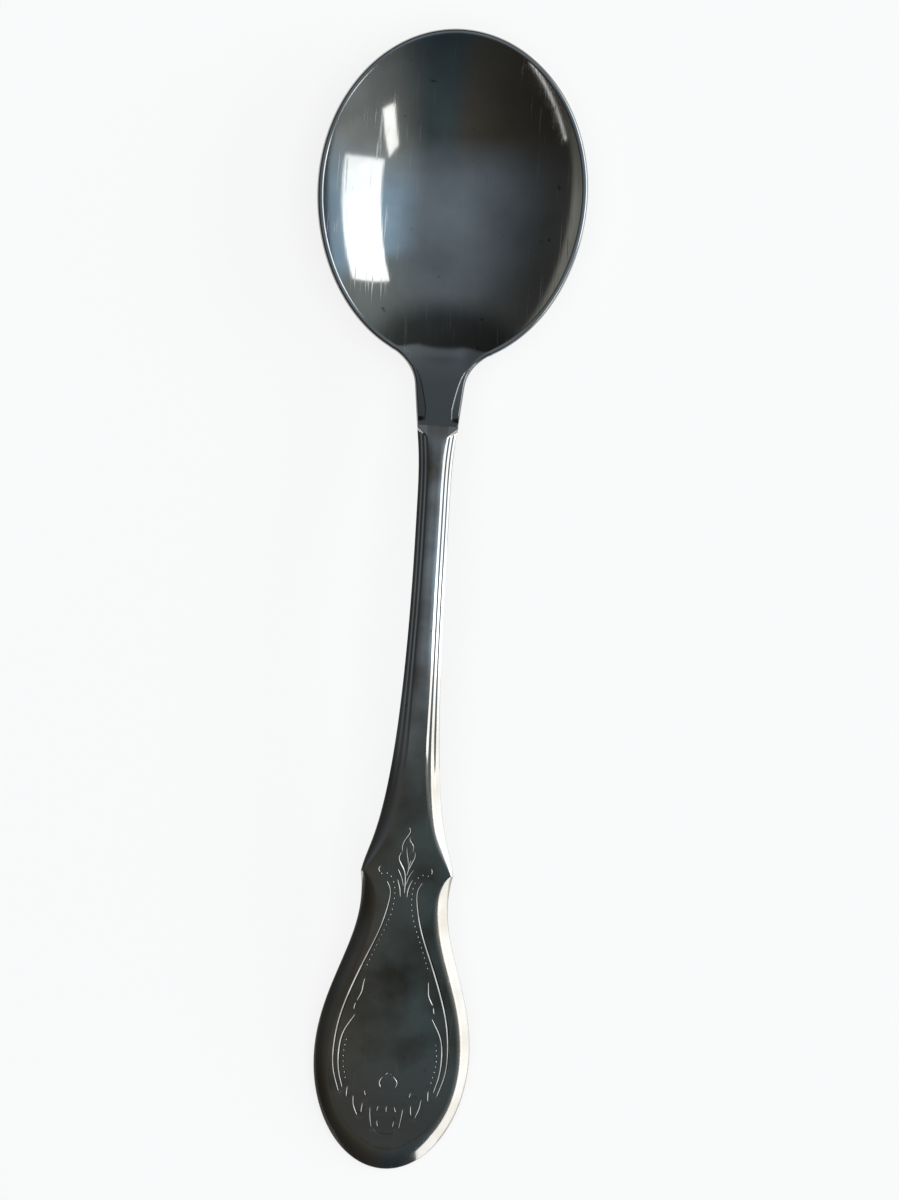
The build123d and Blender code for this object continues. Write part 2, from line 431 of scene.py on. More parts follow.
# %% Handle outline
HANDLE_TOP_Y, COLLAR_BEND_Y, COLLAR_REACH, COLLAR_END_Y = 27.38, 24.45, 6.8, 15.9
STEM_HALF, FLARE_Y, FLARE_BEND_Y = 2.56, 9.0, -37.1
CUSP_HALF, CUSP_LEAD, CUSP_LEAN = 7.27, 5.9, np.radians(8.9)
WAIST_HALF, WAIST_Y, WAIST_REACH = 6.86, -47.1, 7.9
PEAR_HALF, PEAR_REACH, PEAR_END = 12.26, 10.0, 18.0
COLLAR_POINTS, STEM_POINTS, FLARE_POINTS = 46, 12, 130
STEP_POINTS, SWELL_POINTS, END_POINTS = 26, 70, 90


def handle_side():
    """Right half from the joint to the end, stretch by stretch."""
    joint, stem_top = np.array([JOINT_HALF, HANDLE_TOP_Y]), np.array([STEM_HALF, COLLAR_END_Y])
    collar_bend = ((JOINT_HALF + STEM_HALF) / 2, COLLAR_BEND_Y)
    collar = bezier((joint, collar_bend, stem_top + (0.0, COLLAR_REACH), stem_top), COLLAR_POINTS)
    stem = bezier((stem_top, (STEM_HALF, FLARE_Y)), STEM_POINTS)
    cusp = np.array([CUSP_HALF, CUSP_Y])
    lead = cusp + np.array([-np.sin(CUSP_LEAN), np.cos(CUSP_LEAN)]) * CUSP_LEAD
    flare = bezier(((STEM_HALF, FLARE_Y), (STEM_HALF, FLARE_BEND_Y), lead, cusp), FLARE_POINTS)
    waist, pear = np.array([WAIST_HALF, WAIST_Y]), np.array([PEAR_HALF, PEAR_Y])
    step = bezier((cusp, (WAIST_HALF, (CUSP_Y + WAIST_Y) / 2), waist), STEP_POINTS)
    swell_bends = (waist, waist - (0.0, WAIST_REACH), pear + (0.0, PEAR_REACH), pear)
    swell = bezier(swell_bends, SWELL_POINTS)
    angle = np.linspace(0.0, np.pi / 2, END_POINTS)
    end = np.stack([PEAR_HALF * np.cos(angle), PEAR_Y - PEAR_END * np.sin(angle)], axis=-1)
    end[-1, 0] = 0.0
    return np.vstack([collar, stem[1:], flare[1:], step[1:], swell[1:], end[1:]])


outline = handle_side()
outline_y = outline[:, 1]
print("handle outline:", len(outline), "rows")

# %% Spine and rays of the handle
FAN_Y, FAN_MIDDLE_Y = -68.0, -80.0
# Least cosine of the slant between ray and outline that widths allow for
SLANT_LEAST = 0.75

past_fan = np.clip((FAN_Y - outline_y) / (FAN_Y - END_Y), 0.0, 1.0)
fan_pull = (FAN_Y - END_Y) / (FAN_Y - FAN_MIDDLE_Y)
fan_share = fan_pull * past_fan - (fan_pull - 1) * past_fan**2
spine_y = np.where(outline_y > FAN_Y, outline_y, FAN_Y + (FAN_MIDDLE_Y - FAN_Y) * fan_share)
spine = np.stack([np.zeros(len(outline)), spine_y], axis=-1)
ray = outline - spine
ray_length = length(ray)
slant = np.clip(np.abs(np.sum(unit(ray) * outward(outline), axis=1)), SLANT_LEAST, 1.0)


def from_spine(parts):
    """Places at given parts of each row's ray, from the spine (0) to the outline (1)."""
    return spine[:, None, :] + ray[:, None, :] * parts[..., None]


print("shortest and longest ray in mm:", rounded(ray_length.min(), ray_length.max()))

# %% [markdown]
# ## The section of the handle
# A crowned panel lies inside a moulded border: threads along the stem, one slope round the pear,
# almost nothing at the cusp. A bevel has one profile all along, so each row has its own section.

# %% Width of the border
# Width of the border at places along the stem and the pear
STEM_BORDER_Y = (-43.0, -41.5, -38.0, -34.0, -28.0, -18.0, -4.0)
STEM_BORDER = (0.45, 1.0, 1.9, 2.25, 2.3, 1.85, 1.5)
PEAR_BORDER_Y = (-90.0, -84.0, -72.0, -62.0, -55.0, -49.0, -46.2, -44.6, -43.6, -43.0)
PEAR_BORDER = (3.00, 2.40, 2.20, 2.35, 2.50, 2.40, 2.15, 1.65, 1.05, 0.45)
# How fast the border opens on both sides of the cusp
STEM_OPENING, PEAR_OPENING = 0.40, -1.2
# Most of a ray that the border takes, and how far inside the outline it ends
BORDER_MOST, BORDER_INSET = 0.6, 0.07

stem_border = clamped_spline(STEM_BORDER_Y, STEM_BORDER, STEM_OPENING, 0.0)
pear_border = clamped_spline(PEAR_BORDER_Y, PEAR_BORDER, 0.0, PEAR_OPENING)
border = np.where(outline_y > CUSP_Y, stem_border(outline_y), pear_border(outline_y)) / slant
border = np.minimum(border, BORDER_MOST * ray_length)
panel_part = 1 - border / ray_length
border_end_part = 1 - BORDER_INSET / ray_length
print("narrowest and widest border in mm:", rounded(border.min(), border.max()))

# %% Top of the handle
# Threads from the panel (0) to the edge (1), and their drop under the panel
THREAD_AT = (0.0, 0.20, 0.38, 0.61, 0.77, 1.0)
THREAD_DROP = (0.0, 0.18, 0.23, 0.44, 0.49, 0.70)
THREAD_FADE_Y = (-18.0, -37.0)
THREAD_START_Y, THREAD_START_SLANT, THREAD_START_RUN = 25.9, 1.1, 0.55
PEAR_STEEP, PEAR_FLAT, PEAR_DROP_MOST = 0.50, 0.25, 1.25
# Crown of the panel: its drop over the square of x
PEAR_CROWN, STEM_CROWN, STEM_CROWN_FROM_Y = 0.0045, 0.20, -26.0
CROWN_END_Y, CROWN_FULL_Y = 28.4, 22.0
PANEL_COLUMNS, BORDER_COLUMNS = 9, 29

across_border = np.linspace(0.0, 1.0, BORDER_COLUMNS)
thread_drop = np.interp(across_border, THREAD_AT, THREAD_DROP)
pear_drop = np.minimum(PEAR_STEEP * border * slant, PEAR_DROP_MOST)[:, None]
pear_drop = pear_drop * (PEAR_FLAT * across_border + (1 - PEAR_FLAT) * across_border**2)


def panel_height(x, y):
    """Top line with a crown across, rounder on the stem than on the pear."""
    crown = PEAR_CROWN + (STEM_CROWN - PEAR_CROWN) * ease(y, STEM_CROWN_FROM_Y, CREST_Y)
    return top_line(y) - crown * ease(y, CROWN_END_Y, CROWN_FULL_Y) * x**2


def border_drop(y):
    """Threads on the stem, one rounded slope on the pear, nothing at the collar."""
    pear_ness = ease(y, *THREAD_FADE_Y)[:, None]
    start = THREAD_START_Y + THREAD_START_SLANT * across_border
    started = ease(y[:, None], start, start - THREAD_START_RUN)
    return (thread_drop * (1 - pear_ness) + pear_drop * pear_ness) * started


panel_edge = PANEL_COLUMNS - 1
panel_parts = np.linspace(0.0, 1.0, PANEL_COLUMNS)[None, :-1] * panel_part[:, None]
border_parts = panel_part[:, None] + (border_end_part - panel_part)[:, None] * across_border
top_parts = np.hstack([panel_parts, border_parts])
top_plan = from_spine(top_parts)
top_drop = np.hstack([0 * panel_parts, border_drop(outline_y)])
crowned_x = np.minimum(top_plan[..., 0], top_plan[:, panel_edge : panel_edge + 1, 0])
top_z = panel_height(crowned_x, top_plan[..., 1]) - top_drop
print("top of the handle:", top_z.shape[0], "rows of", top_z.shape[1], "columns")

# %% [markdown]
# ## Edge, back and tongue
# Under the border the edge runs in to a plain back. At the joint a tongue goes on under the
# shank, the lower half of the lap. It could be a second mesh, but one grid needs no seam.

# %% Edge and back
# Rows of the edge: inset from the outline, height from top or back
EDGE_INSETS = np.array([0.0, 0.02, 0.15, 0.30])
EDGE_UNDER_TOP, EDGE_OVER_BACK = np.array([0.07, 0.24]), np.array([0.45, 0.12])
BACK_COLUMNS, BACK_INSET, BACK_CROWN, BACK_POWER = 9, 0.55, 0.35, 6

back_parts = np.linspace(1.0, 0.0, BACK_COLUMNS)[None, :] * (1 - BACK_INSET / ray_length)[:, None]
back_plan = from_spine(back_parts)
back_z = back_line(back_plan[..., 1]) + BACK_CROWN * back_parts**BACK_POWER
edge_plan = from_spine(1 - EDGE_INSETS / ray_length[:, None])
edge_z = np.hstack([top_z[:, -1:] - EDGE_UNDER_TOP, back_z[:, :1] + EDGE_OVER_BACK])
section_plan = np.hstack([top_plan, edge_plan, back_plan])
section = np.dstack([section_plan, np.hstack([top_z, edge_z, back_z])])
print("section:", section.shape[1], "columns on each side")

# %% Tongue and whole grid
TONGUE_HALF, TONGUE_BEND_Y, TONGUE_FILM = 3.0, 34.0, 0.10
TONGUE_END_ROWS = 24

tongue_turn = np.linspace(0.0, np.pi / 2, TONGUE_END_ROWS)
tongue_y = np.append(TONGUE_BEND_Y + TONGUE_HALF * np.cos(tongue_turn), HANDLE_TOP_Y)
past_bend = np.maximum(tongue_y - TONGUE_BEND_Y, 0.0)
tongue_half = np.sqrt(np.maximum(TONGUE_HALF**2 - past_bend**2, 0.0))
tongue_top = lap_line(tongue_y) - TONGUE_FILM
tongue_low = back_line(tongue_y)
top_columns, edge_columns = top_parts.shape[1], len(EDGE_INSETS)
top_spread, back_spread = np.linspace(0, 1, top_columns), np.linspace(1, 0, BACK_COLUMNS)
spread = np.hstack([top_spread, np.ones(edge_columns), back_spread])
edge_level = np.linspace(1.0, 0.0, edge_columns + 2)[1:-1]
level = np.hstack([np.ones(top_columns), edge_level, np.zeros(BACK_COLUMNS)])
tongue_z = tongue_low[:, None] + (tongue_top - tongue_low)[:, None] * level
tongue = np.dstack([tongue_half[:, None] * spread, tongue_y[:, None] + 0 * spread, tongue_z])
right_half = np.vstack([tongue, section])
left_half = right_half[:, -2:0:-1] * np.array([-1.0, 1.0, 1.0])
handle_grid = np.hstack([right_half, left_half])
print("handle grid:", handle_grid.shape[0], "rows of", handle_grid.shape[1], "points")

# %% [markdown]
# ## The cut ornament
# A leaf bud, scrolls, punched dots and a palmette are cut into the pear. Bump in a material would
# fade from the side, so the lines are cut into the mesh. Each stroke is a spline, thin at both
# ends, as a graver leaves it, and most are mirrored.

# %% Strokes of the ornament
# Each stroke: half width in mm, and the places it passes
MIRRORED = (
    # Long outer scroll and the short inner one
    (0.19, ((2.8, -44.3), (2.27, -45.3), (2.1, -46.4), (2.27, -47.9), (3.1, -51.4), (5.1, -56.6),
            (6.95, -61.4), (8.35, -66.0), (9.0, -70.8), (8.75, -74.9), (7.75, -78.1))),
    (0.17, ((6.05, -65.7), (7.6, -68.5), (8.15, -71.8), (7.85, -75.2), (7.2, -77.5))),
    # Plume and blade beside the leaf bud, and the curl at the end of the dots
    (0.09, ((1.25, -42.3), (0.8, -43.1), (0.42, -44.0), (0.2, -45.0))),
    (0.12, ((1.2, -43.9), (0.85, -44.8), (0.62, -45.7), (0.52, -46.8))),
    (0.12, ((4.0, -42.0), (4.2, -42.5), (4.05, -43.0))),
    # Leaves that grow from the inner scroll
    (0.14, ((5.0, -59.9), (5.15, -60.9), (5.3, -62.1), (6.0, -63.6))),
    (0.13, ((6.15, -63.9), (6.35, -65.0))),
    # Fallen petals beside the palmette
    (0.12, ((3.65, -77.7), (3.45, -78.5))),
    (0.13, ((3.8, -79.7), (3.95, -81.3))),
    (0.13, ((5.4, -78.6), (5.2, -80.1), (4.55, -81.7))),
    (0.13, ((6.4, -77.2), (6.45, -78.9))),
    # Palmette
    (0.12, ((2.6, -80.3), (2.45, -81.9), (2.15, -83.5))),
    (0.11, ((1.25, -80.0), (1.5, -80.9))),
    (0.11, ((1.35, -82.3), (1.2, -83.3))),
    (0.12, ((0.62, -75.2), (1.15, -75.7), (1.4, -76.3), (1.15, -77.1))),
)
SINGLE = (
    # Leaf bud: two sides above, two below, and its veins
    (0.15, ((0.0, -35.7), (0.24, -36.1), (-0.04, -37.1), (-0.52, -37.9), (-0.78, -38.7), (-0.76, -39.6))),
    (0.13, ((0.22, -37.2), (0.33, -37.7), (0.77, -38.3), (0.98, -39.0), (0.82, -39.6))),
    (0.15, ((-0.85, -39.6), (-1.16, -40.4), (-0.83, -41.4), (-0.34, -42.2), (-0.02, -43.1), (0.1, -46.2))),
    (0.14, ((1.21, -39.5), (1.31, -40.1), (1.11, -40.9), (0.68, -41.9), (0.35, -42.8), (0.14, -43.6))),
    (0.10, ((-0.12, -38.8), (0.01, -39.8), (0.21, -40.7), (0.33, -41.7))),
    (0.10, ((0.71, -40.8), (0.47, -41.7), (0.28, -42.4))),
    # Top of the small ring and foot of the palmette
    (0.11, ((-0.6, -75.1), (0.0, -74.6), (0.6, -75.1))),
    (0.12, ((-1.9, -83.7), (-1.05, -84.3), (0.0, -84.5), (1.05, -84.3), (1.9, -83.7))),
    (0.11, ((0.0, -80.0), (0.0, -81.0))),
)
# Rows of punched dots, by the places they pass
DOT_ROWS = (
    ((4.1, -43.3), (2.8, -43.1), (1.62, -44.6), (1.36, -46.6), (1.55, -48.8), (3.0, -53.2), (5.0, -58.4)),
    ((7.0, -69.4), (7.35, -71.6), (7.2, -74.0), (6.75, -76.0)),
)
print("strokes drawn by hand:", len(MIRRORED), "mirrored and", len(SINGLE), "single")

# %% Strokes as lines with a width
# The die sat a little to the left of the middle.
ORNAMENT_SHIFT = np.array([-0.22, 0.0])
DOT_PITCH, DOT_RADIUS = 0.87, 0.15
STROKE_STEP, STROKE_LEAST_STEPS = 0.26, 4
# How far into a half wave a stroke starts, and a power for its fuller middle
TAPER_START, TAPER_POWER = 0.06, 0.6


def path_through(places):
    """Spline through the places by walked length, with the first and last chord as end slopes."""
    places = np.array(places, float)
    walked = np.append(0.0, np.cumsum(length(np.diff(places, axis=0))))
    first = (places[1] - places[0]) / walked[1]
    last = (places[-1] - places[-2]) / (walked[-1] - walked[-2])
    lines = [clamped_spline(walked, places[:, k], first[k], last[k]) for k in (0, 1)]
    return lambda at: np.stack([line(at) for line in lines], axis=-1), walked[-1]


def stroke_shape(widest, places):
    """Middle line of a stroke and its half width, which tapers like a sine to both ends."""
    path, total = path_through(places)
    at = np.linspace(0.0, total, max(int(total / STROKE_STEP), STROKE_LEAST_STEPS) + 1)
    wave = TAPER_START + (1 - 2 * TAPER_START) * at / total
    return path(at), widest * np.sin(np.pi * wave) ** TAPER_POWER


def dot_row(places):
    """Middles of the punched dots along a path, one pitch apart."""
    path, total = path_through(places)
    return path(np.arange(0.5 * DOT_PITCH, total, DOT_PITCH))


strokes = [stroke_shape(widest, places) for widest, places in MIRRORED + SINGLE]
strokes += [(line * FLIP, taper) for line, taper in strokes[: len(MIRRORED)]]
strokes = [(line + ORNAMENT_SHIFT, taper) for line, taper in strokes]
right_dots = np.vstack([dot_row(places) for places in DOT_ROWS])
dots = np.vstack([right_dots, right_dots * FLIP]) + ORNAMENT_SHIFT
print("ornament:", len(strokes), "strokes and", len(dots), "dots")

# %% [markdown]
# ## The depth of the cuts
# A graver leaves a V-shaped valley. A bevelled curve could be subtracted, but a depth is simpler:
# the slope of the walls times what is left of the half width. A dot is a cone by the same rule.

# %% Depth of the cuts
CUT_SLOPE = 0.58


def cut_depth(spots):
    """Depth of the deepest valley at each place: slope times what is left of its half width."""
    depth = np.zeros(len(spots))
    for line, taper in strokes:
        start, run = line[:-1], np.diff(line, axis=0)
        part = np.einsum("pkc,kc->pk", spots[:, None] - start, run) / np.sum(run**2, axis=1)
        part = np.clip(part, 0.0, 1.0)
        gap = length(spots[:, None] - start - run * part[..., None])
        left_over = taper[:-1] + np.diff(taper) * part - gap
        depth = np.maximum(depth, CUT_SLOPE * left_over.max(axis=1))
    gap = length(spots[:, None] - dots).min(axis=1)
    return np.maximum(depth, CUT_SLOPE * (DOT_RADIUS - gap))


print("deepest cut in mm:", rounded(CUT_SLOPE * max(taper.max() for line, taper in strokes)))

# %% [markdown]
# ## The panel between the cuts
# A grid fine enough for the thinnest stroke would take a million faces. A triangulation spends
# its points on the panel's edge, the banks and bottoms of strokes and rings round dots, and
# keeps those lines as edges.

# %% Edge of the panel
PANEL_TOP_Y = -30.0

first_row = int(np.argmax(outline_y < PANEL_TOP_Y)) + len(tongue)
edge_line = handle_grid[first_row:, panel_edge, :2]
across_row = handle_grid[first_row, 1:panel_edge, :2]
row_middle = (0.0, edge_line[0, 1])
left_edge, left_row = (edge_line * FLIP)[-2::-1], (across_row * FLIP)[::-1]
ring = np.vstack([edge_line, left_edge, left_row, row_middle, across_row])
print("panel ring:", len(ring), "points")

# %% Points and lines of the cuts
DOT_SIDES = 8

flat_points, flat_edges = [ring], []
count = len(ring)
for line, taper in strokes:
    bank = outward(line)[1:-1] * taper[1:-1, None]
    flat_points += [line, line[1:-1] + bank, line[1:-1] - bank]
    bottom = np.arange(len(line)) + count
    bank_numbers = np.arange(len(bank)) + bottom[-1] + 1
    left_bank = np.hstack([bottom[:1], bank_numbers, bottom[-1:]])
    right_bank = np.hstack([bottom[:1], bank_numbers + len(bank), bottom[-1:]])
    flat_edges += [np.stack([walk[:-1], walk[1:]], axis=-1) for walk in (bottom, left_bank, right_bank)]
    count += len(line) + 2 * len(bank)
dot_angle = np.arange(DOT_SIDES) * 2 * np.pi / DOT_SIDES
dot_rings = dots[:, None] + DOT_RADIUS * np.stack([np.cos(dot_angle), np.sin(dot_angle)], axis=-1)
ring_numbers = np.arange(len(dots) * DOT_SIDES).reshape(-1, DOT_SIDES) + count
flat_edges.append(np.stack([ring_numbers, np.roll(ring_numbers, -1, axis=1)], axis=-1).reshape(-1, 2))
flat_points += [dot_rings.reshape(-1, 2), dots]
print("points on the cuts:", sum(len(part) for part in flat_points[1:]))

# %% Filling and triangulation
FILL_STEP, FILL_HALF, FILL_LOW_Y = 0.6, 12.0, -88.0
EDGE_CLEARANCE, CUT_CLEARANCE = 0.4, 0.2
# Keep only what lies inside the ring, and join points nearer than this
INSIDE_ONLY, NEAR = 1, 1e-6


def is_clear(x, y):
    """Tells which places lie well inside the edge of the panel and well away from every cut."""
    half = np.interp(y, edge_line[::-1, 1], edge_line[::-1, 0]) - EDGE_CLEARANCE
    top_y, low_y = edge_line[0, 1] - EDGE_CLEARANCE, edge_line[-1, 1] + EDGE_CLEARANCE
    spots = np.stack([x, y], axis=-1)[:, None]
    gap = length(spots - dots).min(axis=1) - DOT_RADIUS
    for line, taper in strokes:
        gap = np.minimum(gap, (length(spots - line) - taper).min(axis=1))
    return (np.abs(x) < half) & (y < top_y) & (y > low_y) & (gap > CUT_CLEARANCE)


fill_x = np.arange(-FILL_HALF, FILL_HALF + FILL_STEP / 2, FILL_STEP)
fill_y = np.arange(FILL_LOW_Y, PANEL_TOP_Y, FILL_STEP)
fill = np.stack(np.meshgrid(fill_x, fill_y), axis=-1).reshape(-1, 2)
flat_points.append(fill[is_clear(*fill.T)])
flat = list(map(Vector, np.vstack(flat_points).tolist()))
edges = np.vstack(flat_edges).tolist()
found = delaunay_2d_cdt(flat, edges, [list(range(len(ring)))], INSIDE_ONLY, NEAR)
cut_plan, triangles = np.array(list(map(tuple, found[0]))), np.array(found[2])
print("panel:", len(cut_plan), "points,", len(triangles), "triangles")

# %% [markdown]
# ## The handle's mesh
# The cut panel takes the place of the grid's own. A second object would show a seam, but both
# edges hold the same points, so welding closes them. Each face gets a finish number.

# %% Handle mesh
HANDLE_SHARP = np.radians(14.0)
STRUCK, CUT, RUBBED = 0, 1, 2
# The rubbed finish goes on over this many columns of the edge.
RUBBED_EDGE_COLUMNS = 2

cut_z = panel_height(cut_plan[:, 0], cut_plan[:, 1]) - np.maximum(cut_depth(cut_plan), 0.0)
cut_points = np.hstack([cut_plan, cut_z[:, None]])
in_cut = cut_depth(cut_plan[triangles].mean(axis=1)) > 0
grid_rows, grid_columns = handle_grid.shape[:2]
quads = grid_faces(np.arange(grid_rows * grid_columns).reshape(grid_rows, grid_columns), wrap=True)
row_of, column_of = quads[:, 0] // grid_columns, quads[:, 0] % grid_columns
beside_middle = (column_of < panel_edge) | (column_of >= grid_columns - panel_edge)
kept = ~((row_of >= first_row) & beside_middle)
from_middle = np.minimum(column_of, grid_columns - 1 - column_of)
on_border = (from_middle >= panel_edge) & (from_middle < top_columns + RUBBED_EDGE_COLUMNS)
grid_finish = np.where(on_border & (row_of >= len(tongue)), RUBBED, STRUCK)[kept]
handle_points = np.vstack([handle_grid.reshape(-1, 3), cut_points])
handle_faces = quads[kept].tolist() + (triangles + grid_rows * grid_columns).tolist()
handle_finish = np.hstack([grid_finish, np.where(in_cut, CUT, STRUCK)])
handle = make_piece("struck_handle", handle_points, handle_faces, handle_finish, HANDLE_SHARP)
print("faces in the cuts:", int(in_cut.sum()))

# %% [markdown]
# ## Finishes
# Silver plate is a thin skin of silver on base metal. Base colour tints what a metal mirrors and
# roughness blurs it, so all finishes are one recipe. Its patterns lie on Object coordinates in
# real millimetres, so they stay put from every side.

# %% Node helpers
def linear(hex_code):
    """sRGB hex to linear light, by the sRGB curve."""
    channels = np.array([int(hex_code[k : k + 2], 16) for k in (1, 3, 5)]) / 255
    light = np.where(channels <= 0.04045, channels / 12.92, ((channels + 0.055) / 1.055) ** 2.4)
    return (*light.tolist(), 1.0)


def add_node(tree, kind, inputs=(), **settings):
    """Adds a shader node, sets its properties, sets or links its inputs, and gives its outputs."""
    node = tree.nodes.new("ShaderNode" + kind)
    for key, value in settings.items():
        setattr(node, key, value)
    for key, value in dict(inputs).items():
        if isinstance(value, bpy.types.NodeSocket):
            tree.links.new(value, node.inputs[key])
        else:
            node.inputs[key].default_value = value
    return node.outputs


def new_material(name):
    """An empty node material, with its tree and its output node."""
    material = bpy.data.materials.new(name)
    material.use_nodes = True
    material.node_tree.nodes.clear()
    return material, material.node_tree, material.node_tree.nodes.new("ShaderNodeOutputMaterial")


print("a mid grey of #808080 in linear light:", rounded(*linear("#808080")[:3]))

# %% [markdown]
# ## What age does to plate
# Wiping draws hairlines along the spoon, tarnish settles in patches, acid leaves stains. Painted
# images could show them, but would blur close up, so each is a noise whose upper values count.

# %% Patterns of wear
STAIN_MM = 2.6
HAIR_DETAIL, PATCH_DETAIL, STAIN_DETAIL = 2.0, 5.0, 3.0
# Noise values between which a pattern rises from nothing to its most
HAIR_RISE, PATCH_RISE, STAIN_RISE = (0.60, 0.70), (0.38, 0.68), (0.70, 0.76)
PER_MM = 1 / MM


def wear_patterns(tree, place, hairline_mm, patch):
    """Noise of the hairlines, and amounts of hairline, tarnish and stain."""
    line_width, line_length, _ = hairline_mm
    patch_mm, patch_most = patch
    stretch = (PER_MM / line_width, PER_MM / line_length, PER_MM / line_length)
    lengthwise = add_node(tree, "Mapping", {"Vector": place, "Scale": stretch})[0]
    patterns = (
        ("hairline", lengthwise, 1.0, HAIR_DETAIL, HAIR_RISE, 1.0),
        ("tarnish", place, PER_MM / patch_mm, PATCH_DETAIL, PATCH_RISE, patch_most),
        ("stain", place, PER_MM / STAIN_MM, STAIN_DETAIL, STAIN_RISE, 1.0),
    )
    noise, amount = {}, {}
    for name, vector, scale, detail, rise, most in patterns:
        inputs = {"Vector": vector, "Scale": scale, "Detail": detail}
        noise[name] = add_node(tree, "TexNoise", inputs)["Fac"]
        inputs = {"Value": noise[name], "From Min": rise[0], "From Max": rise[1], "To Max": most}
        amount[name] = add_node(tree, "MapRange", inputs)[0]
    return noise["hairline"], amount


print("stains are drawn", STAIN_MM, "mm apart")

# %% Silver plate
# The gloss of the handle's end turns into the bowl's along this stretch.
GLOSS_FROM_Y, GLOSS_TO_Y = -30.0, 20.0


def silver_plate(name, colours, gloss, hairline_mm, patch, tarnish_and_shade_end):
    """Metal tinted and blurred by its wear, duller towards one end.

    colours: bright plate, tarnish (also the colour of the painted shade at one end), stain.  gloss:
    roughness of clean plate at the handle's end, at the neck and bowl, and what tarnish and painted
    shade and a hairline add.  hairline_mm: width, length and depth.  patch: size of the tarnish in mm
    and its most.  Last, the darkening of one end: from y, to y, and its most; real tarnish on the
    handle's end, painted shade at the neck of the bowl.
    """
    bright, tarnish, stain = [linear(code) for code in colours]
    end_gloss, bowl_gloss, dulling, scratching = gloss
    tarnish_and_shade_from_y, tarnish_and_shade_to_y, tarnish_and_shade_most = tarnish_and_shade_end
    material, tree, output = new_material(name)
    place = add_node(tree, "TexCoord")["Object"]
    along = add_node(tree, "SeparateXYZ", {0: place})["Y"]
    hair, amount = wear_patterns(tree, place, hairline_mm, patch)
    # One end darkens towards the tarnish colour: real tarnish at the handle's end, painted shade at the
    # neck of the bowl.
    span = {"Value": along, "From Min": tarnish_and_shade_from_y * MM, "From Max": tarnish_and_shade_to_y * MM, "To Max": tarnish_and_shade_most}
    end_tarnish_and_shade = add_node(tree, "MapRange", span, interpolation_type="SMOOTHSTEP")[0]
    either = {0: amount["tarnish"], 1: end_tarnish_and_shade}
    tarnish_and_shade = add_node(tree, "Math", either, operation="MAXIMUM")[0]
    # The tarnish colour goes on the tarnish patches and on the darkened end, so on the bowl it also paints
    # shade at the neck.
    colour = bright
    for share, layer in ((tarnish_and_shade, tarnish), (amount["stain"], stain)):
        layers = {0: share, 6: colour, 7: layer}
        colour = add_node(tree, "Mix", layers, data_type="RGBA")[2]
    span = {"Value": along, "From Min": GLOSS_FROM_Y * MM, "From Max": GLOSS_TO_Y * MM}
    span |= {"To Min": end_gloss, "To Max": bowl_gloss}
    rough = add_node(tree, "MapRange", span)[0]
    for share, added in ((tarnish_and_shade, dulling), (amount["hairline"], scratching)):
        blurred = {0: share, 1: added, 2: rough}
        rough = add_node(tree, "Math", blurred, operation="MULTIPLY_ADD")[0]
    relief = add_node(tree, "Bump", {"Height": hair, "Distance": hairline_mm[2] * MM})[0]
    surface = {"Base Color": colour, "Metallic": 1.0, "Roughness": rough, "Normal": relief}
    metal = add_node(tree, "BsdfPrincipled", surface)
    tree.links.new(metal[0], output.inputs["Surface"])
    return material


print("gloss changes between", GLOSS_FROM_Y, "and", GLOSS_TO_Y, "mm")

# %% [markdown]
# ## Five finishes
# The bowl was buffed to a mirror. The handle keeps the gloss of the die and is tarnished, but
# fingers keep its border bright. One material could hold all finishes by a mask, but separate
# ones have plain names and numbers.

# %% Finishes of the spoon
# Painted shade on the neck begins here and is full at the neck.
NECK_SHADE_FROM_Y = 43.0
EVEN = (NECK_SHADE_FROM_Y, NECK_Y, 0.0)

# Buffed plate: a mirror softened by hairlines, drawn wider than real ones to show; painted shade darkens
# it at the neck
buffed_silver = silver_plate(
    "buffed_silver_plate", colours=("#b9b9b7", "#757570", "#77736d"), gloss=(0.07, 0.07, 0.05, 0.19),
    hairline_mm=(0.30, 9.0, 0.0022), patch=(11.0, 0.4), tarnish_and_shade_end=(NECK_SHADE_FROM_Y, NECK_Y, 0.9),
)
# Struck plate: softer gloss, unevenly tarnished to brown, most at the end of the pear
struck_silver = silver_plate(
    "struck_silver_plate", colours=("#c6c4be", "#7a6d60", "#928c82"), gloss=(0.12, 0.07, 0.08, 0.08),
    hairline_mm=(0.40, 14.0, 0.003), patch=(9.0, 0.85), tarnish_and_shade_end=(-68.0, -84.0, 0.75),
)
# Graver-cut plate: clean walls, so one bank flashes and the other is dark
graver_cut = silver_plate(
    "graver_cut_silver", colours=("#a09f9c", "#6e6b66", "#4a463f"), gloss=(0.15, 0.15, 0.05, 0.04),
    hairline_mm=(0.40, 3.0, 0.002), patch=(4.0, 0.9), tarnish_and_shade_end=EVEN,
)
# Rubbed plate: the border that fingers keep bright, with thin tarnish
rubbed_silver = silver_plate(
    "rubbed_silver_plate", colours=("#b8b6b2", "#a1998e", "#7d786f"), gloss=(0.11, 0.07, 0.05, 0.06),
    hairline_mm=(0.40, 14.0, 0.001), patch=(9.0, 0.6), tarnish_and_shade_end=EVEN,
)
# Silver solder: a little yellower and duller, seen only as the hair of the joint
silver_solder = silver_plate(
    "flowed_silver_solder", colours=("#a8a394", "#8a8475", "#6b665a"), gloss=(0.25, 0.25, 0.08, 0.08),
    hairline_mm=(0.50, 3.0, 0.004), patch=(4.0, 0.9), tarnish_and_shade_end=EVEN,
)

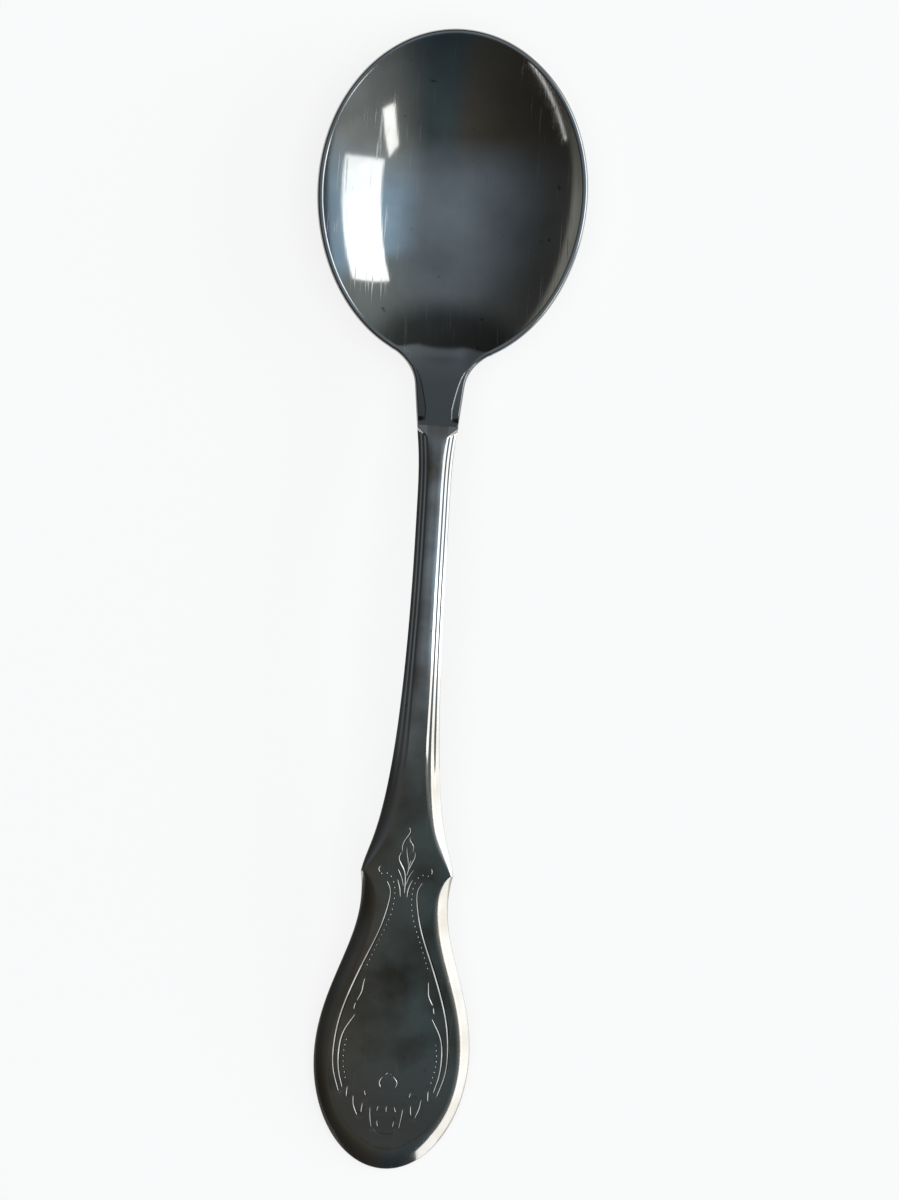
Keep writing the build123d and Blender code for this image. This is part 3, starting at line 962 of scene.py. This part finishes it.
bowl.data.materials.append(buffed_silver)
for finish in (struck_silver, graver_cut, rubbed_silver):
    handle.data.materials.append(finish)
for solder_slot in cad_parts["neck_solder"].material_slots:
    solder_slot.material = silver_solder
print("materials:", [material.name for material in bpy.data.materials])

# %% [markdown]
# ## Tying the pieces to the frame
# The meshes stand for the solids of bowl and handle. Nothing on a spoon moves, so both ride on one
# body. The solder keeps its solid, which only shows as a hairline.

# %% Tie the pieces to the frame
for piece, node, slot in ((bowl, "bowl", "polished_silver"), (handle, "handle", "struck_silver")):
    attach(piece, "root")
    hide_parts(node)
print("pieces on root:", bowl.name, "and", handle.name)

# %% [markdown]
# ## The floor
# The spoon lies on white paper. Lit paper alone would need light that burns out the silver, so to
# camera and reflections it is mostly plain white, and the rest keeps a faint shadow.

# %% Floor
FLOOR_HALF = 5.0
PAPER_WHITE, PAPER_GLOW = "#f4f4f4", 0.80

floor_mesh = bpy.data.meshes.new("white_floor")
corners = np.array([(-1, -1, 0), (1, -1, 0), (1, 1, 0), (-1, 1, 0)]) * FLOOR_HALF
floor_mesh.from_pydata(corners.tolist(), [], [(0, 1, 2, 3)])
floor = bpy.data.objects.new("white_floor", floor_mesh)
scene.collection.objects.link(floor)
paper, tree, output = new_material("white_paper_floor")
light_path = add_node(tree, "LightPath")
seen = light_path["Is Camera Ray"]
for kind in ("Is Glossy Ray", "Is Transmission Ray"):
    either = {0: seen, 1: light_path[kind]}
    seen = add_node(tree, "Math", either, operation="MAXIMUM")[0]
glowing = add_node(tree, "Math", {0: seen, 1: PAPER_GLOW}, operation="MULTIPLY")[0]
lit = add_node(tree, "BsdfDiffuse", {"Color": linear(PAPER_WHITE)})[0]
white = add_node(tree, "Emission", {"Color": linear("#ffffff"), "Strength": 1.0})[0]
sheet = add_node(tree, "MixShader", {0: glowing, 1: lit, 2: white})
tree.links.new(sheet[0], output.inputs["Surface"])
floor_mesh.materials.append(paper)
print("floor", 2 * FLOOR_HALF, "m wide")

# %% [markdown]
# ## The room
# Polished metal shows its room more than itself. This one is dim, with a dark end past the
# handle, a bright wall beside the window on the right and a pale low wall on the left. A panorama
# could be wrapped round, but ramps over the direction of a ray give plain, soft reflections. X, Y
# and Z of a direction run from -1 to 1.

# %% Ramps of the room
SMOOTH, STRAIGHT = "SMOOTHSTEP", "LINEAR"
# Each ramp: its name, axis, from, to, the values there (one may name a ramp above it), its kind
RAMPS = (
    ("overhead", "Z", 0.30, 1.0, 0.0, 1.0, SMOOTH),
    ("rightward", "X", -0.2, 1.0, 0.0, 1.0, SMOOTH),
    ("past_far_end", "Y", -0.95, -0.50, 0.0, 1.0, STRAIGHT),
    ("left_to_right", "X", -0.12, 0.12, 0.0, 1.0, STRAIGHT),
    ("past_dark_end", "Y", -0.42, -0.08, 0.0, 1.0, STRAIGHT),
    ("left_level", "Y", -0.5, 0.1, 0.37, 0.51, STRAIGHT),
    ("level", "X", -0.8, -0.1, "left_level", 1.0, STRAIGHT),
    ("dim_beyond", "Y", 0.70, 0.86, 1.0, 0.30, SMOOTH),
    ("towards_window", "X", 0.30, 0.80, 0.0, 1.0, SMOOTH),
    ("before_corner", "Y", 0.40, 0.52, 1.0, 0.0, SMOOTH),
    ("along_window", "Y", -0.85, -0.20, 0.0, 1.0, STRAIGHT),
    ("sky_lit", "Y", -0.25, 0.10, 0.0, 1.0, STRAIGHT),
    ("low", "Z", 0.15, 0.21, 1.0, 0.0, SMOOTH),
    ("leftward", "X", -0.35, -0.80, 0.0, 1.0, SMOOTH),
    ("above_floor", "Z", 0.0, 0.16, 0.35, 1.0, STRAIGHT),
    ("beside_bowl", "Y", -0.45, 0.20, 0.45, 1.0, SMOOTH),
)
# Each joined ramp: its name, the two ramps it joins, and how
JOINED = (
    ("dimmed", "level", "dim_beyond", "MULTIPLY"),
    ("window_side", "towards_window", "before_corner", "MULTIPLY"),
    ("strength", "dimmed", "window_side", "MAXIMUM"),
    ("low_left", "low", "leftward", "MULTIPLY"),
    ("low_left_rising", "low_left", "above_floor", "MULTIPLY"),
    ("pale_wall", "low_left_rising", "beside_bowl", "MULTIPLY"),
)

room = bpy.data.worlds.new("dim_studio")
scene.world = room
room.use_nodes = True
tree = room.node_tree
tree.nodes.clear()
toward = add_node(tree, "TexCoord")["Generated"]
axis = add_node(tree, "SeparateXYZ", {0: toward})
ramp = {}
for name, letter, start, finish, first_value, last_value, kind in RAMPS:
    inputs = {"Value": axis[letter], "From Min": start, "From Max": finish, "To Max": last_value}
    inputs["To Min"] = ramp.get(first_value, first_value)
    ramp[name] = add_node(tree, "MapRange", inputs, interpolation_type=kind)[0]
for name, first, second, how in JOINED:
    both = {0: ramp[first], 1: ramp[second]}
    ramp[name] = add_node(tree, "Math", both, operation=how)[0]
print("room:", room.name, "with", len(ramp), "ramps")

# %% Colours of the room
# Each blend: its name, the ramp that drives it, and two colours, each in hex or the name of a blend
# above it. One that no ramp drives multiplies its colours.
BLENDS = (
    ("walls", "rightward", "#575959", "#929d9d"),
    ("ceiling", "overhead", "walls", "#828e9a"),
    ("far_end", "past_far_end", "#3b4147", "#53585c"),
    ("tint", "left_to_right", "#ffead0", "#eaffff"),
    ("dark_end", None, "far_end", "tint"),
    ("dim_room", "past_dark_end", "dark_end", "ceiling"),
    ("plain_wall", "along_window", "#5c5f60", "#b0b6b5"),
    ("window_wall", "sky_lit", "plain_wall", "#b4d4ee"),
    ("lit_room", "window_side", "dim_room", "window_wall"),
    ("whole_room", "pale_wall", "lit_room", "#cdcdc4"),
)

shade = {}
for name, driver, first, second in BLENDS:
    how = "MIX" if driver else "MULTIPLY"
    ends = [shade[end] if end in shade else linear(end) for end in (first, second)]
    inputs = {0: ramp.get(driver, 1.0), 6: ends[0], 7: ends[1]}
    shade[name] = add_node(tree, "Mix", inputs, data_type="RGBA", blend_type=how)[2]
glow = add_node(tree, "Background", {"Color": shade["whole_room"], "Strength": ramp["strength"]})
add_node(tree, "OutputWorld", {"Surface": glow[0]})
print("colours of the room:", len(shade), "blends")

# %% [markdown]
# ## The lamps
# A window on the right gives the bowl its white panes and the edges their flash. Point lamps
# would only make dots, but metal mirrors the shape of an area lamp. Two light one piece each, as
# a flag in a studio would keep them off the other.

# %% Lamps
# Each lamp: name, place and target in metres, size, watts, roll in degrees, whether reflections
# show it, and the one piece it lights
LAMPS = (
    # The main pane of the window
    ("window_light", (0.81, 0.30, 0.345), (0.504, 0.30, -0.03), (0.72, 0.49), 2.3, 0.0, True, None),
    # A thin strip on the left, for the bright line inside the right wall of the bowl
    ("low_strip_light", (-0.77, -0.505, 0.24), (0.0, 0.07, 0.0), (0.62, 0.018), 0.06, 0.0, True, bowl),
    # The small second pane
    ("side_pane_light", (1.0, -0.45, 0.80), (0.0, -0.45, 0.80), (0.52, 0.26), 0.98, 46.0, True, None),
    # The long side of the window, for the threads and the border of the pear
    ("handle_strip_light", (1.0, -0.72, 0.45), (0.0, -0.72, 0.45), (1.74, 0.90), 8.8, 0.0, True, handle),
    # Light for the paper, kept out of the reflections
    ("overhead_fill", (0.0, 0.0, 1.6), (0.0, 0.0, 0.0), (1.6, 1.6), 18.0, 0.0, False, None),
)

for name, location, target, size, watts, roll, in_reflections, only_on in LAMPS:
    lamp = bpy.data.lights.new(name, "AREA")
    lamp.shape = "RECTANGLE"
    lamp.size, lamp.size_y = size
    lamp.energy = watts
    lamp_object = bpy.data.objects.new(name, lamp)
    lamp_object.location = location
    aim = Vector(target) - Vector(location)
    turned = aim.to_track_quat("-Z", "Y") @ Quaternion((0.0, 0.0, 1.0), np.radians(roll))
    lamp_object.rotation_euler = turned.to_euler()
    lamp_object.visible_glossy = in_reflections
    scene.collection.objects.link(lamp_object)
    if only_on:
        lit_pieces = bpy.data.collections.new("lit_by_" + name)
        lit_pieces.objects.link(only_on)
        lamp_object.light_linking.receiver_collection = lit_pieces
print("lamps:", [item.name for item in bpy.data.lights])

# %% [markdown]
# ## The camera
# The spoon is seen from almost straight above. A camera close by would bend the outline, so a
# long lens looks from far away.

# %% Camera
CAMERA_DISTANCE, FRAME_HEIGHT, SENSOR = 1.6, 0.189, 36.0
TURN, LEAN = np.radians(3.9), np.radians(3.5)
AIM_POINT = Vector((0.0041, 0.0003, 0.006))

right = Vector((np.cos(TURN), np.sin(TURN), 0.0))
upward = Vector((-np.sin(TURN), np.cos(TURN), 0.0))
behind = (Vector(UP) * np.cos(LEAN) - right * np.sin(LEAN)).normalized()
sideways = upward.cross(behind).normalized()
axes = Matrix((sideways, behind.cross(sideways), behind)).transposed()
camera_data = bpy.data.cameras.new("photo_camera")
camera_data.sensor_width = SENSOR
camera_data.lens = SENSOR * CAMERA_DISTANCE / FRAME_HEIGHT
camera = bpy.data.objects.new("photo_camera", camera_data)
camera.matrix_world = Matrix.Translation(AIM_POINT + behind * CAMERA_DISTANCE) @ axes.to_4x4()
scene.collection.objects.link(camera)
scene.camera = camera
scene.view_settings.view_transform = "Standard"
print("camera at, in metres:", rounded(*camera.location))
